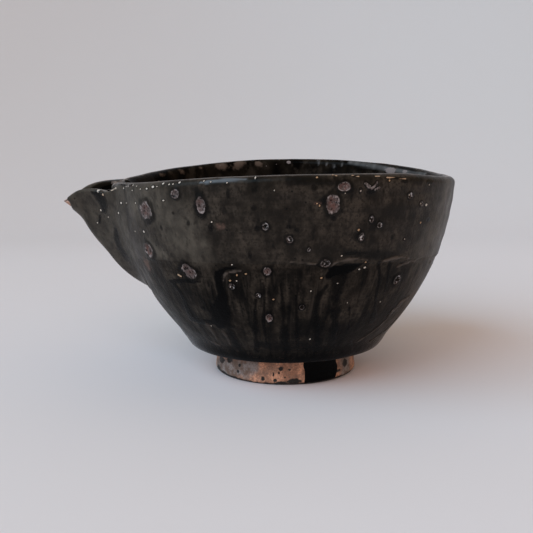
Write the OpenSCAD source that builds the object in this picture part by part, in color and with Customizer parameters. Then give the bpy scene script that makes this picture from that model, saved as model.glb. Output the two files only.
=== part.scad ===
// Katakuchi: a footed sake bowl with a pouring spout, in millimetres.
// Z is up, the foot stands on Z = 0, the bowl's axis is X = Y = 0 and the spout points along -X.

/* [Bowl] */
// Diameter of the clay where the wall stands upright
rim_d = 134; // [120:1:150]
// Radius of the wall's curve, seen in profile
belly_r = 101.5; // [95:0.5:120]
// Height at which the wall's curve stands upright
crown_z = 84.5; // [82:0.5:90]
// Height of the sharp turn under the belly
turn_z = 13.2; // [12:0.1:16]
// Mean height of the rim
rim_h = 81; // [76:0.5:86]
// How far the sides of the rim rise, and its ends dip, from the mean
rim_saddle = 2.5; // [0:0.1:4]
// How much lower the rim is at the spout than opposite it, halved
rim_tilt = 0.7; // [0:0.1:2]
// Level thickness of the wall at the rim
wall_rim = 3.8; // [3:0.1:5]
// Level thickness of the wall beside the floor
wall_low = 7; // [5.5:0.1:9]
// Height of the rounded lip
lip_round = 1.8; // [1:0.1:3]
// Height of the floor inside
floor_z = 16; // [15:0.1:19]
// Height at which the inside wall begins to turn into the floor
well_z = 28; // [25:0.5:34]

/* [Foot] */
// Diameter of the foot ring at its widest
foot_d = 58; // [50:0.5:62]
// Height of the foot ring
foot_h = 10; // [8:0.1:11]
// Width of the foot ring at its widest level
foot_w = 7; // [5:0.1:10]
// How much the foot ring draws in towards its top
foot_draw = 1; // [0:0.1:2]
// Radius of the worn edges at the bottom of the foot ring
foot_edge = 1.6; // [0.5:0.1:2.2]

/* [Spout] */
// How far the tip stands out past the upright wall
spout_reach = 22.8; // [16:0.2:28]
// Height of the tip
tip_z = 69.7; // [66:0.1:74]
// Height at which the keel leaves the wall
spout_low = 34; // [30:0.5:40]
// Height of the spout's edges where they meet the wall
root_z = 76; // [74:0.1:76.5]
// Angle from the spout's middle to the side of its joint, at the top
top_spread = 20; // [17:0.5:26]
// Angle from the spout's middle to the side of its joint, at the bottom
low_spread = 4; // [3:0.5:6]
// How far the chin stands out: the pull on the lower end of the keel
chin_out = 20.5; // [14:0.5:26]
// How far up that pull reaches
chin_up = 10; // [6:0.5:14]
// How far back the pull on the upper end of the keel reaches
lip_back = 12.5; // [6:0.5:14]
// How far down that pull reaches
lip_down = 8.7; // [6:0.1:12]
// How much higher the far edge of the spout is than its middle
spout_lean = 0.6; // [0:0.1:1.5]
// Thickness of the spout at its tip
spout_lip = 3; // [2:0.1:4]
// Thickness of the spout's feathered edge on the wall
spout_edge = 0.8; // [0.5:0.1:1.5]
// Height of the sill of the pouring gap
sill_z = 50; // [46:0.5:58]

/* [Glaze] */
// Thickness of the outer coats
coat = 0.8; // [0.4:0.1:1.2]
// Thickness of the coat inside the bowl and the channel
coat_in = 0.6; // [0.4:0.1:1]
// Extra thickness of the roll at the turn
roll = 1.1; // [0:0.1:1.6]
// Height of the ridge where the two outer coats meet
ridge_z = 48.5; // [44:0.5:54]
// How far the ridge stands out from the coats
ridge_bead = 0.5; // [0:0.1:0.8]
// How much higher the ridge is on the side that faces the viewer
ridge_tilt = 5; // [0:0.5:6]
// Angle from the spout to the near side of the run over the foot
run_from = 104; // [60:1:140]
// Angle that the run over the foot takes up
run_turn = 31; // [10:1:60]
// How far the run ends above the bottom of the foot
run_stop = 0.6; // [0.2:0.1:3]

/* [Joints] */
// Thickness of the slip in the joints
lute = 0.4; // [0.3:0.05:0.8]
// Clearance between a coat and what it ends against
seat_gap = 0.25; // [0.15:0.05:0.4]
// Clearance between the slip and the curved wall
slip_gap = 0.1; // [0.05:0.01:0.15]

/* [Hidden] */

clay = "#a5714f";
slip = "#8a6a52";
dark_glaze = "#2c2825";
brown_glaze = "#3a322c";

// Counts of the rows and columns in the wall's surface
low_rows = 5;
up_rows = 9;
inside_rows = 6;
well_rows = 4;
round_cols = 54;
gap_cols = 14;
all_cols = round_cols + gap_cols;
lip_angles = [45, 90, 135, 180];

// Rows of the wall's path: up the outside, over the lip, down the inside to the floor
ridge_row = low_rows;
shoulder_row = low_rows + up_rows;
crest_row = shoulder_row + 2;
brim_row = shoulder_row + len(lip_angles);
floor_row = brim_row + inside_rows + well_rows;

// Counts of the rows and columns in the spout's surface
spout_rows = 12;
half_cols = 8;
channel_cols = 5;
bare_rows = 1;

// Share of the joint's half width at which the gap's side starts and ends
gap_in = 0.28;
gap_out = 0.43;
// How sharply the joint's outline narrows downwards
spread_power = 0.6;
// How far the ridge passes below the spout, and how wide it dips there
ridge_clear = 1.5;
ridge_dip = 14;
// How the spout's sides run out into the wall, and how round its nose is
flare_power = 1.8;
nose = 0.12;
// How late the spout's edges drop towards the tip
drop_power = 3.5;
// Height of the spout's rounded edge
edge_crown = 0.8;
// Rows over which the roll and the ridge fade out, and how the lower rows crowd towards the turn
roll_rows = 1.2;
bead_rows = 0.6;
crowding = 1.4;
// Radius of the flat middle of the floor
floor_r = 8;
// Points on each rounded edge of the foot
edge_steps = 5;

rim_r = rim_d / 2;
curve_r = rim_r - belly_r;
seat_z = foot_h + lute;
foot_r = foot_d / 2;
foot_top_r = foot_r - foot_draw;

function lerp(a, b, f) = a + (b - a) * f;
function clamp(f) = max(0, min(1, f));
function ease(f) = let (c = clamp(f)) c * c * (3 - 2 * c);
function bezier3(a, b, c, f) = lerp(lerp(a, b, f), lerp(b, c, f), f);
function bezier4(a, b, c, d, f) = lerp(bezier3(a, b, c, f), bezier3(b, c, d, f), f);
function from_spout(a) = a > 180 ? a - 360 : a;
function at(angle, r, z) = [-r * cos(angle), -r * sin(angle), z];

// The wall in profile
function wall_r(z) = curve_r + sqrt(belly_r * belly_r - (z - crown_z) * (z - crown_z));
function wall_t(z) = lerp(wall_rim, wall_low, (crown_z - z) / (crown_z - floor_z));
function inside_r(z) = wall_r(z) - wall_t(z);

// Heights round the bowl, by the angle from the spout
function rim_z(a) = rim_h - rim_saddle * cos(2 * a) - rim_tilt * cos(a);
function ridge_at(a) = ridge_z + ridge_tilt * sin(a)
    - (ridge_z - spout_low + ridge_clear) * exp(-pow(from_spout(a) / ridge_dip, 2));

// Half the angle that the spout's joint takes up at a height
function joint_share(z) = clamp((z - spout_low) / (root_z - spout_low));
function joint_angle(z) = lerp(low_spread, top_spread, pow(joint_share(z), spread_power));

// Across is -1 to 1 over the spout's joint and 2 on the rest of the wall
function across(col) = col <= round_cols ? 2 : 2 * (col - round_cols) / gap_cols - 1;
function gap_side(share) = ease((abs(share) - gap_in) / (gap_out - gap_in));
function crest_z(a, share) = lerp(sill_z, rim_z(a), gap_side(share));
function brim_z(a, share) = crest_z(a, share) - coat - lip_round;

function outside_z(row, a, share) = row <= ridge_row
    ? lerp(turn_z, ridge_at(a), pow(row / low_rows, crowding))
    : lerp(ridge_at(a), brim_z(a, share), (row - ridge_row) / up_rows);
function edge_angle(row) = row <= ridge_row ? low_spread : let (
    first = joint_angle(outside_z(row, low_spread, 2)),
    second = joint_angle(outside_z(row, first, 2))
) joint_angle(outside_z(row, second, 2));
edge_angles = [for (row = [0:floor_row]) edge_angle(min(row, shoulder_row))
    + (row >= ridge_row ? seat_gap / rim_r * 180 / PI : 0)];
function col_angle(row, col) = let (side = edge_angles[row]) col <= round_cols
    ? side + (360 - 2 * side) * col / round_cols
    : side * across(col);

// One column of the clay's surface, as [angle, radius, height]
function outside_point(row, col) = let (
    a = col_angle(row, col),
    z = outside_z(row, a, across(col))
) [a, wall_r(z), z];
function lip_point(k, col) = let (
    a = col_angle(floor_row, col),
    z = brim_z(a, across(col)),
    half = wall_t(z) / 2
) [a, wall_r(z) - half + half * cos(lip_angles[k]), z + lip_round * sin(lip_angles[k])];
function inside_point(k, col) = let (
    a = col_angle(floor_row, col),
    z = lerp(brim_z(a, across(col)), well_z, k / inside_rows)
) [a, inside_r(z), z];
well_slope = inside_r(well_z + 1) - inside_r(well_z);
well_start = [inside_r(well_z), well_z];
well_pull = [inside_r(well_z) - well_slope * (well_z - floor_z), floor_z];
function well_point(k, col) = let (
    p = bezier3(well_start, well_pull, [floor_r, floor_z], k / well_rows)
) [col_angle(floor_row, col), p[0], p[1]];
function clay_path(col) = [
    for (row = [0:shoulder_row]) outside_point(row, col),
    for (k = [0:len(lip_angles) - 1]) lip_point(k, col),
    for (k = [1:inside_rows]) inside_point(k, col),
    for (k = [1:well_rows]) well_point(k, col)
];

// The same column moved out by the thickness of the glaze
function swell(rows, fade) = exp(-pow(rows / fade, 2));
function glaze_t(row) = row > crest_row ? coat_in
    : coat + roll * swell(row, roll_rows) + ridge_bead * swell(row - ridge_row, bead_rows);
function path_step(path, row) = path[min(row + 1, floor_row)] - path[max(row - 1, 0)];
function glaze_path(path) = [for (row = [0:floor_row]) let (
    step = path_step(path, row),
    run = sqrt(step[1] * step[1] + step[2] * step[2]),
    t = glaze_t(row) / run
) path[row] + (row == floor_row ? [0, 0, coat_in] : [0, step[2] * t, -step[1] * t])];

clay_cols = [for (col = [0:all_cols - 1]) clay_path(col)];
glaze_cols = [for (path = clay_cols) glaze_path(path)];
function grid(cols, first_row, last_row, count) = [for (row = [first_row:last_row])
    [for (col = [0:count - 1]) let (p = cols[col][row]) at(p[0], p[1], p[2])]];

// The spout, by share of its half width (-1 to 1) and share of its height (0 to 1)
function beak(share) = let (
    far = sqrt(1 + nose * nose) - nose,
    soft = (sqrt(share * share + nose * nose) - nose) / far
) pow(max(0, 1 - soft), flare_power);
keel_low = [wall_r(spout_low) + lute + spout_edge, spout_low];
keel_tip = [rim_r + spout_reach, tip_z];
function keel(f) = bezier4(keel_low, keel_low + [chin_out, chin_up],
    keel_tip - [lip_back, lip_down], keel_tip, f);
function keel_out(f) = let (k = keel(f)) k[0] - wall_r(k[1]) - lute - spout_edge;
function root_at(f) = lerp(spout_low, root_z, f);
channel_end = keel_out(1) - spout_lip;
function channel_out(f) = channel_end * max(0, (keel(f)[1] - sill_z) / (tip_z - sill_z));
channel_share = channel_cols / half_cols;
function spout_angle(share, f) = share * joint_angle(root_at(f));
function spout_z(share, f) = lerp(root_at(f), keel(f)[1], pow(beak(share), drop_power))
    - spout_lean * f * sin(180 * share);

function outer_skin(share, f, more) = let (z = spout_z(share, f))
    at(spout_angle(share, f), wall_r(z) + lute + spout_edge + keel_out(f) * beak(share) + more, z);
function inner_skin(share, f, less) = let (
    z = spout_z(share, f),
    hollow = channel_out(f) * beak(min(1, abs(share) / channel_share))
) at(spout_angle(share, f), wall_r(z) + lute + hollow - less, z);
spout_shares = [for (i = [-half_cols:half_cols]) i / half_cols];
spout_steps = [for (j = [0:spout_rows]) j / spout_rows];
function outer_grid(more) = [for (f = spout_steps) [for (s = spout_shares) outer_skin(s, f, more)]];
function inner_grid(less) = [for (f = spout_steps) [for (s = spout_shares) inner_skin(s, f, less)]];
function slip_grid() = [for (f = spout_steps) [for (s = spout_shares) let (z = spout_z(s, f))
    at(spout_angle(s, f), wall_r(z) + slip_gap, z)]];
function edge_row(f) = [for (s = spout_shares)
    lerp(outer_skin(s, 1, 0), inner_skin(s, 1, 0), f) + [0, 0, edge_crown]];
sill_row = min([for (j = [0:spout_rows]) if (channel_out(spout_steps[j]) > 0) j]) - 1;
function in_channel(j, i) = j >= sill_row && abs(i + 0.5 - half_cols) < channel_cols;

// Two triangles on four corners, in the order bottom left, top left, top right, bottom right
function quad(a, b, c, d) = [[a, b, c], [a, c, d]];
function back_quad(a, b, c, d) = [[a, c, b], [a, d, c]];

// A slab between two grids of points that have the same rows and columns.
// Keep says which cells are filled. Round slabs close on themselves.
module slab(front, back, keep, round = false) {
    rows = len(front);
    cols = len(front[0]);
    cells = round ? cols : cols - 1;
    size = rows * cols;
    function filled(j, i) = j >= 0 && j < rows - 1
        && (round || (i >= 0 && i < cells)) && keep[j][(i + cells) % cells];
    function f(j, i) = j * cols + i % cols;
    function b(j, i) = size + f(j, i);
    points = concat([for (row = front) each row], [for (row = back) each row]);
    faces = [for (j = [0:rows - 2], i = [0:cells - 1]) if (filled(j, i)) each concat(
        quad(f(j, i), f(j + 1, i), f(j + 1, i + 1), f(j, i + 1)),
        back_quad(b(j, i), b(j + 1, i), b(j + 1, i + 1), b(j, i + 1)),
        filled(j - 1, i) ? [] : quad(f(j, i), f(j, i + 1), b(j, i + 1), b(j, i)),
        filled(j + 1, i) ? [] : quad(f(j + 1, i + 1), f(j + 1, i), b(j + 1, i), b(j + 1, i + 1)),
        filled(j, i - 1) ? [] : quad(f(j + 1, i), f(j, i), b(j, i), b(j + 1, i)),
        filled(j, i + 1) ? [] : quad(f(j, i + 1), f(j + 1, i + 1), b(j + 1, i + 1), b(j, i + 1)))];
    polyhedron(points, faces);
}
function all_cells(rows, cols) = [for (j = [1:rows]) [for (i = [1:cols]) true]];

// A closed skin over rings of points, with a flat cap on the first and the last ring
module capped(rings) {
    cols = len(rings[0]);
    last = (len(rings) - 1) * cols;
    function p(j, i) = j * cols + i % cols;
    sides = [for (j = [0:len(rings) - 2], i = [0:cols - 1])
        each quad(p(j, i), p(j + 1, i), p(j + 1, i + 1), p(j, i + 1))];
    caps = [[for (i = [0:cols - 1]) i], [for (i = [cols - 1:-1:0]) last + i]];
    polyhedron([for (ring = rings) each ring], concat(sides, caps));
}

module bowl_wall() {
    seat = [[for (col = [0:all_cols - 1]) at(clay_cols[col][0][0], foot_top_r, seat_z)]];
    color(clay) capped(concat(seat, grid(clay_cols, 0, floor_row, all_cols)));
}

// The foot ring in profile: outside from the bottom up, and the whole section
function edge_arc(r, z, from) = [for (k = [0:edge_steps]) let (a = from + 90 * k / edge_steps)
    [r + foot_edge * cos(a), z + foot_edge * sin(a)]];
foot_outside = concat(edge_arc(foot_r - foot_edge, foot_edge, -90), [[foot_top_r, foot_h]]);
foot_inner_r = foot_r - foot_w;
foot_inside = concat([[foot_inner_r - foot_draw, foot_h]],
    edge_arc(foot_inner_r + foot_edge, foot_edge, 180));

module foot_ring() {
    color(clay) rotate_extrude($fn = 96) polygon(concat(foot_outside, foot_inside));
}

module foot_lute() {
    color(slip) translate([0, 0, foot_h]) difference() {
        cylinder(h = lute, r = foot_top_r, $fn = 96);
        translate([0, 0, -lute]) cylinder(h = 3 * lute, r = foot_inner_r - foot_draw, $fn = 96);
    }
}

module spout() {
    front = concat(outer_grid(0), [edge_row(1 / 3)]);
    back = concat(inner_grid(0), [edge_row(2 / 3)]);
    color(clay) slab(front, back, all_cells(spout_rows + 1, 2 * half_cols));
}

module spout_lute() {
    keep = [for (j = [0:spout_rows - 1]) [for (i = [0:2 * half_cols - 1]) !in_channel(j, i)]];
    color(slip) slab(inner_grid(0), slip_grid(), keep);
}

module channel_glaze() {
    keep = [for (j = [0:spout_rows - 1]) [for (i = [0:2 * half_cols - 1])
        in_channel(j, i) && j < spout_rows - bare_rows]];
    color(dark_glaze) slab(inner_grid(0), inner_grid(coat_in), keep);
}

module spout_glaze() {
    keep = [for (j = [0:spout_rows - 1]) [for (i = [1:2 * half_cols]) j < spout_rows - bare_rows]];
    color(dark_glaze) slab(outer_grid(coat), outer_grid(0), keep);
}

module inner_glaze() {
    clay_rings = grid(clay_cols, crest_row, floor_row, all_cols);
    glaze_rings = grid(glaze_cols, crest_row, floor_row, all_cols);
    count = len(clay_rings);
    color(dark_glaze) capped(concat([for (j = [count - 1:-1:0]) clay_rings[j]], glaze_rings));
}

module upper_glaze() {
    cols = round_cols + 1;
    front = grid(glaze_cols, ridge_row, crest_row, cols);
    back = grid(clay_cols, ridge_row, crest_row, cols);
    color(dark_glaze) slab(front, back, all_cells(crest_row - ridge_row, round_cols));
}

module lower_glaze() {
    front = grid(glaze_cols, 0, ridge_row, all_cols);
    back = grid(clay_cols, 0, ridge_row, all_cols);
    color(brown_glaze) slab(front, back, all_cells(low_rows, all_cols), round = true);
}

module foot_glaze_run() {
    inner = [for (p = foot_outside) if (p[1] >= run_stop) p];
    outer = [for (p = inner) p + [coat, 0]];
    count = len(inner);
    color(dark_glaze) rotate([0, 0, 180 + run_from]) rotate_extrude(angle = run_turn, $fn = 96)
        polygon(concat(outer, [for (k = [count - 1:-1:0]) inner[k]]));
}

bowl_wall();
foot_ring();
foot_lute();
spout();
spout_lute();
inner_glaze();
upper_glaze();
lower_glaze();
spout_glaze();
channel_glaze();
foot_glaze_run();
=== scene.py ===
"""The looks of a katakuchi: a sake bowl with a pouring spout, under a dark run iron glaze.

Lengths are in millimetres and angles in degrees, measured round the bowl from the spout.
Z is up, the foot stands on Z = 0 and the spout points along -X. Meshes are made in metres.
"""

import bpy
import numpy as np
from mathutils import Matrix, Vector


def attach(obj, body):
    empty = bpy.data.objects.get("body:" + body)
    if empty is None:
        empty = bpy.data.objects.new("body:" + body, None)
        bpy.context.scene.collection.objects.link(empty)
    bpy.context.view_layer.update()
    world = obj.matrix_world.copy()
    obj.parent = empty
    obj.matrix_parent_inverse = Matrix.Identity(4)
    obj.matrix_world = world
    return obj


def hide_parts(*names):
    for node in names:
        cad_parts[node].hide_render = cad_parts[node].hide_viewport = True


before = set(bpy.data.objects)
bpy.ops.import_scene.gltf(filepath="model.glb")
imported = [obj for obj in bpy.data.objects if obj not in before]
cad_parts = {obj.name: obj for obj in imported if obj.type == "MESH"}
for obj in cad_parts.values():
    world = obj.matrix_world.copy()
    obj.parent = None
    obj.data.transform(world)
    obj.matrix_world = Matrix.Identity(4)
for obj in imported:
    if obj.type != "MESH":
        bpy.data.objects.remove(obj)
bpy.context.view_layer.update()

MM = 0.001

# The camera of the photograph, whose frame is square
PHOTO_SIZE = 533
CAMERA_AT = np.array([-7.6, -348.6, 99.7])
CAMERA_DOWN = 9.4
CAMERA_ROLL = -0.365
FOCAL_PIXELS = 857.8
SENSOR_W = 36.0

# The bowl in profile
RIM_R = 67.0
BELLY_R = 101.5
CROWN_Z = 84.5
TURN_Z = 13.2
RIM_H = 81.0
RIM_SADDLE = 2.5
RIM_TILT = 0.7
WALL_RIM = 3.8
WALL_LOW = 7.0
LIP_ROUND = 1.8
FLOOR_Z = 16.0
WELL_Z = 28.0
FLOOR_R = 8.0

# The foot
FOOT_R = 29.0
FOOT_W = 7.0
FOOT_DRAW = 1.0
FOOT_EDGE = 1.6
SEAT_Z = 10.4
SEAT_IN = 12.0
SEAT_FLAT = 0.45
UNDER_ROLL = 0.6
FOOT_SUNK = 0.12

# The spout
SPOUT_REACH = 22.8
TIP_Z = 69.7
SPOUT_LOW = 34.0
ROOT_Z = 76.0
TOP_SPREAD = 20.0
LOW_SPREAD = 4.0
SPREAD_POWER = 0.6
CHIN = np.array([20.5, 10.0])
LIP_PULL = np.array([12.5, 8.7])
SPOUT_LEAN = 0.6
SPOUT_LIP = 3.0
SPOUT_SEAT = 1.2
FLARE_POWER = 1.8
NOSE = 0.12
DROP_POWER = 3.5
EDGE_CROWN = 0.8
SILL_Z = 50.0
GAP_IN = 0.28
GAP_OUT = 0.43
CHANNEL_SHARE = 0.625
CHANNEL_EDGE = 0.97
CHANNEL_FROM = 0.3
CHANNEL_TO = 0.995
SKIN_SEAT = 0.4
CLAY_SEAT = 0.2
ROOT_FADE = 0.12
ROOT_SUNK = 0.6

# Uneven places of the rim: rises by angle, width and height, and its ends beside the gap
RIM_RISES = {"far_left": (-38, 22, 0.7), "near_right": (130, 22, 0.9), "far_right": (-140, 28, 0.6)}
RIM_END = TOP_SPREAD * GAP_OUT
RIM_END_DROP = 0.4
RIM_END_DROP_W = 2.5
RIM_END_FLARE = 2.8
RIM_END_FLARE_W = 8.0
FLARE_FROM = 70.0
FLARE_RISE = 8.0
RIM_WAVE = 0.12
RIM_WAVE_SIZE = 14.0
CREST_CLEAR = 0.2

# The swelling of the wall under the spout's root
SWELL = 1.0
SWELL_TURN = 16.0
SWELL_Z = 31.0
SWELL_H = 5.5

# Uneven places of the spout: dents of its keel by share of height, width and depth, and its sagging edge
KEEL_DENTS = {"high": (0.8, 0.1, 0.8), "low": (0.41, 0.12, 0.6)}
TIP_SAG = 1.2
FAR_SAG = 0.5
FAR_DIP = 0.6
NEAR_SAG = 0.3
NEAR_DIP = 1.3
INNER_FALL = 1.5
RIM_JOIN = 1.6

# The glaze
COAT = 0.6
COAT_IN = 0.5
ROLL = 1.2
ROLL_UP = 3.2
RIDGE_Z = 48.5
RIDGE_TILT = 5.0
RIDGE_DIP = 14.0
RIDGE_CLEAR = 1.5
SPOUT_FADE = 1.6
SPOUT_TURN_IN = 0.8
TIP_BARE = 4.6
TIP_SUNK = 0.3
COAT_SUNK = 0.05
LEDGE = 0.42
LEDGE_FADE = 2.4
LEDGE_UNDER = 0.5
RING_PITCH = 6.3
RING_DEPTH = 0.05
FLOW_R = 60.0
BELOW_FADE = 4.0
NEAR_LINE_ROW = 0.6
FAR_LINE_ROW = 3.0
RUN_FROM = 104.0
RUN_TURN = 31.0
RUN_SUNK = 0.2
UPPER_SHINE = 0.11
LOWER_SHINE = 0.05
INNER_SHINE = 0.03

# Waves of the surfaces and ragged edges of marks, by height and size
COAT_WAVES = ((0.09, 13), (0.045, 5))
INSIDE_WAVES = ((0.06, 9), (0.03, 4))
SPOUT_WAVES = ((0.06, 8), (0.03, 3))
FOOT_WAVES = ((0.1, 4), (0.05, 1.5))
POOL_EDGE = ((0.25, 3.4), (0.15, 1.4))
RUN_EDGE = ((0.5, 3.4), (0.3, 1.4))
BLOT_EDGE = ((0.4, 2.2), (0.2, 1.0))

# Rows and columns of the meshes
LOW_ROWS = 84
UP_ROWS = 78
LIP_ROWS = 14
INSIDE_ROWS = 56
WELL_ROWS = 20
FLOOR_ROWS = 6
COLS = 760
SPOUT_COLS = 150
SPOUT_ROWS = 110
SPOUT_IN_ROWS = 14
EDGE_ROWS = 9
FOOT_COLS = 480
FOOT_EDGE_ROWS = 9
FOOT_SIDE_ROWS = 22
FOOT_HOLLOW_ROWS = 10
SEAT_ROWS = 9
CLAY_IN_ROWS = 34
CHANNEL_ROWS = 84
CHANNEL_COLS = 90
RUN_ROWS = slice(4, 30)
RUN_COLS = 90
FINE_ANGLES = 7201
BACK_STEP = 8
CLAY_STEP = 3
LOW_CROWD = 1.15
FLOOR_HOLE = 0.2

CURVE_R = RIM_R - BELLY_R
KEEL_LOW = np.array([CURVE_R + np.sqrt(BELLY_R ** 2 - (SPOUT_LOW - CROWN_Z) ** 2) + SPOUT_SEAT, SPOUT_LOW])
KEEL_TIP = np.array([RIM_R + SPOUT_REACH, TIP_Z])


def lerp(a, b, share):
    return a + (b - a) * share


def ease(share):
    share = np.clip(share, 0, 1)
    return share * share * (3 - 2 * share)


def bump_at(distance, width):
    return np.exp(-(distance / width) ** 2)


def within(distance, reach, fade):
    """1 inside a mark and 0 outside it, with a soft edge that ends at its reach."""
    return ease((reach - distance) / fade)


def at(angle, r, z):
    """Points at angles from the spout, radii and heights."""
    turn = np.radians(angle)
    return np.stack(np.broadcast_arrays(-r * np.cos(turn), -r * np.sin(turn), z), axis=-1)


LATTICE = 32
LATTICE_VALUES = np.random.default_rng(11).random((LATTICE,) * 3)


def noise(points, size):
    """Smooth noise from -1 to 1, with features of that size in millimetres."""
    place = points / np.asarray(size, float)
    cell = np.floor(place).astype(int)
    part = ease(place - cell)
    total = 0.0
    for corner in np.ndindex(2, 2, 2):
        weight = np.prod(np.where(corner, part, 1 - part), axis=-1)
        i, j, k = np.moveaxis((cell + corner) % LATTICE, -1, 0)
        total = total + weight * LATTICE_VALUES[i, j, k]
    return 2 * total - 1


def waves(points, sizes):
    return sum(height * noise(points, size) for height, size in sizes)


# The curves of the bowl
def wall_r(z):
    return CURVE_R + np.sqrt(BELLY_R ** 2 - (z - CROWN_Z) ** 2)


def wall_t(z):
    return lerp(WALL_RIM, WALL_LOW, (CROWN_Z - z) / (CROWN_Z - FLOOR_Z))


def inside_r(z):
    return wall_r(z) - wall_t(z)


def rim_z(a):
    turn = np.radians(a)
    return RIM_H - RIM_SADDLE * np.cos(2 * turn) - RIM_TILT * np.cos(turn)


def ridge_z(a):
    dip = (RIDGE_Z - SPOUT_LOW + RIDGE_CLEAR) * bump_at(a, RIDGE_DIP)
    return RIDGE_Z + RIDGE_TILT * np.sin(np.radians(a)) - dip


def crest_z(a):
    side = ease((np.abs(a) / TOP_SPREAD - GAP_IN) / (GAP_OUT - GAP_IN))
    return lerp(SILL_Z, rim_z(a), side)


# The curves of the spout, by share of its half width (-1 to 1) and of its height (0 to 1)
def joint_angle(z):
    share = np.clip((z - SPOUT_LOW) / (ROOT_Z - SPOUT_LOW), 0, 1)
    return lerp(LOW_SPREAD, TOP_SPREAD, share ** SPREAD_POWER)


def beak(share):
    far = np.sqrt(1 + NOSE ** 2) - NOSE
    soft = (np.sqrt(share ** 2 + NOSE ** 2) - NOSE) / far
    return np.maximum(0, 1 - soft) ** FLARE_POWER


def keel(f):
    f = np.asarray(f)[..., None]
    pulls = (KEEL_LOW, KEEL_LOW + CHIN, KEEL_TIP - LIP_PULL, KEEL_TIP)
    shares = ((1 - f) ** 3, 3 * f * (1 - f) ** 2, 3 * f ** 2 * (1 - f), f ** 3)
    return sum(pull * share for pull, share in zip(pulls, shares))


def keel_out(f):
    r, z = np.moveaxis(keel(f), -1, 0)
    return r - wall_r(z) - SPOUT_SEAT


def spout_place(s, f):
    """Angle and height of a place on the spout."""
    root = lerp(SPOUT_LOW, ROOT_Z, f)
    inside = np.clip(f, 0, 1)
    lean = SPOUT_LEAN * inside * np.sin(np.pi * np.clip(s, -1, 1))
    z = lerp(root, keel(inside)[..., 1], beak(s) ** DROP_POWER) - lean
    return s * joint_angle(root), z


def spout_outside(s, f, seat):
    angle, z = spout_place(s, f)
    return at(angle, wall_r(z) + seat + keel_out(np.clip(f, 0, 1)) * beak(s), z)


def spout_inside(s, f, seat):
    angle, z = spout_place(s, f)
    rise = np.maximum(0, (keel(f)[..., 1] - SILL_Z) / (TIP_Z - SILL_Z))
    hollow = (keel_out(1.0) - SPOUT_LIP) * rise * beak(np.minimum(1, np.abs(s) / CHANNEL_SHARE))
    return at(angle, wall_r(z) + seat + hollow, z)


# Grids of points
def grid_normals(points, wrap):
    if wrap:
        along = np.roll(points, -1, 1) - np.roll(points, 1, 1)
    else:
        along = np.gradient(points, axis=1)
    normals = np.cross(along, np.gradient(points, axis=0))
    return normals / np.maximum(np.linalg.norm(normals, axis=-1, keepdims=True), 1e-9)


def strip_faces(one, other, wrap):
    """Faces between two rows of vertex numbers."""
    faces = np.stack([one, np.roll(one, -1), np.roll(other, -1), other], axis=-1)
    return faces if wrap else faces[:-1]


def grid_faces(numbers, wrap):
    """Faces between all the rows of a grid of vertex numbers."""
    return np.concatenate([strip_faces(one, other, wrap) for one, other in zip(numbers, numbers[1:])])


def fan_faces(ring, middle):
    """Triangles between a closed row of vertex numbers and one vertex."""
    return np.stack([ring, np.roll(ring, -1), np.full(len(ring), middle)], axis=-1)


def row_numbers(grid, first=0):
    rows, cols = grid.shape[:2]
    return first + np.arange(rows * cols).reshape(rows, cols)


def add_object(name, data):
    obj = bpy.data.objects.new(name, data)
    bpy.context.scene.collection.objects.link(obj)
    return obj


def make_mesh(name, points, faces, material):
    mesh = bpy.data.meshes.new(name)
    corners = [face for group in faces for face in group.tolist()]
    mesh.from_pydata((points.reshape(-1, 3) * MM).tolist(), [], corners)
    mesh.polygons.foreach_set("use_smooth", np.ones(len(mesh.polygons), bool))
    mesh.materials.append(material)
    return mesh


def make_piece(name, points, faces, normals, fields, material, nodes):
    mesh = make_mesh(name, points, faces, material)
    for field, values in fields.items():
        layer = mesh.attributes.new(field, "FLOAT", "POINT")
        layer.data.foreach_set("value", values.ravel().astype(np.float32))
    mesh.normals_split_custom_set_from_vertices(normals.reshape(-1, 3).tolist())
    obj = add_object(name, mesh)
    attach(obj, "root")
    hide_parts(*nodes)


def make_shell(name, front, back, wrap, fields, material, nodes, capped=False):
    """A closed shell between a front grid and a back grid that has the same rows and columns.

    A capped shell goes round, and its last rows are small rings that are closed at their middles.
    """
    rows = len(front)
    kept = sorted(set(range(0, rows, BACK_STEP)) | {rows - 1}) if wrap else list(range(rows))
    back = back[kept]
    numbers = row_numbers(front)
    behind = row_numbers(back, numbers.size)
    faces = [
        grid_faces(numbers, wrap),
        grid_faces(behind[::-1], wrap),
        strip_faces(behind[0], numbers[0], wrap),
    ]
    points = [front.reshape(-1, 3), back.reshape(-1, 3)]
    normals = [grid_normals(front, wrap).reshape(-1, 3), -grid_normals(back, wrap).reshape(-1, 3)]
    values = {field: [v.ravel(), v[kept].ravel()] for field, v in fields.items()}
    if capped:
        middle = numbers.size + behind.size
        faces += [fan_faces(numbers[-1], middle), fan_faces(behind[-1, ::-1], middle + 1)]
        points.append([front[-1].mean(axis=0), back[-1].mean(axis=0)])
        normals.append([normals[0][-1], normals[1][-1]])
        for field in values.values():
            field.append(field[0][-2:])
    else:
        faces.append(strip_faces(numbers[-1], behind[-1], wrap))
    if not wrap:
        faces.append(strip_faces(numbers[:, 0], behind[:, 0], False))
        faces.append(strip_faces(behind[:, -1], numbers[:, -1], False))
    points, normals = np.concatenate(points), np.concatenate(normals)
    values = {field: np.concatenate(parts) for field, parts in values.items()}
    make_piece(name, points, faces, normals, values, material, nodes)


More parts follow.
